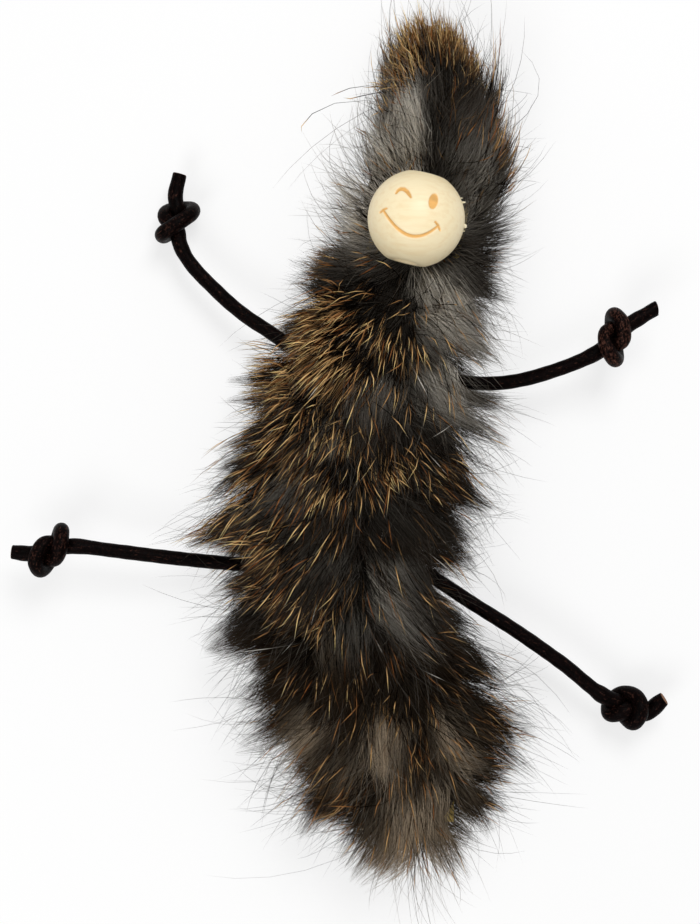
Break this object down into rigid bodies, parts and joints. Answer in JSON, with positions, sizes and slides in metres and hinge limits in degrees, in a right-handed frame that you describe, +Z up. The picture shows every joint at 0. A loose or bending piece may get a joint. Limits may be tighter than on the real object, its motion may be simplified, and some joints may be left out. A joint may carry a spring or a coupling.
{
  "type": "snow monster figurine",
  "caption": "Lying figurine: folded strip of fur pelt as body and hood, glued wooden bead head with an engraved winking smile, and knotted leather cord limbs that swing beside the body.",
  "frame": {"origin": "on the table under the middle of the coat's box, the cord limbs left out", "axes": "+X to the right of someone looking down at the face, +Y from the tail towards the hood's tip, +Z up from the table towards the face"},
  "size_m": [0.1389, 0.186, 0.032],
  "materials": {
    "fur": "long matte hair, brown-black with grey underfur and amber tips",
    "hide": "tanned, bare on the inside",
    "cord": "round cord, dark brown-black, worn on the knots",
    "bead": "pale, smooth sanded, unvarnished",
    "glue": "set hot glue, whitish"
  },
  "bodies": {
    "figure": {"hide": "hide", "glue_film": "glue", "arm_cord_core": "cord", "leg_cord_core": "cord", "head_glue": "glue", "head_bead": "bead", "fur_hood": "fur", "fur_chest": "fur", "fur_belly": "fur", "fur_tail": "fur"},
    "left_arm": {"left_arm_cord": "cord", "left_hand_knot": "cord"},
    "right_arm": {"right_arm_cord": "cord", "right_hand_knot": "cord"},
    "left_leg": {"left_leg_cord": "cord", "left_foot_knot": "cord"},
    "right_leg": {"right_leg_cord": "cord", "right_foot_knot": "cord"}
  },
  "joints": [
    {"name": "left_arm_swing", "type": "hinge", "parent": "figure", "child": "left_arm", "pos_m": [-0.0145, 0.0246, 0.0095], "axis": [0, 0, 1], "range_deg": [-40, 40]},
    {"name": "right_arm_swing", "type": "hinge", "parent": "figure", "child": "right_arm", "pos_m": [0.0205, 0.0171, 0.0095], "axis": [0, 0, 1], "range_deg": [-40, 40]},
    {"name": "left_leg_swing", "type": "hinge", "parent": "figure", "child": "left_leg", "pos_m": [-0.022, -0.0219, 0.0095], "axis": [0, 0, 1], "range_deg": [-40, 40]},
    {"name": "right_leg_swing", "type": "hinge", "parent": "figure", "child": "right_leg", "pos_m": [0.0145, -0.0234, 0.0095], "axis": [0, 0, 1], "range_deg": [-18, 40]}
  ]
}
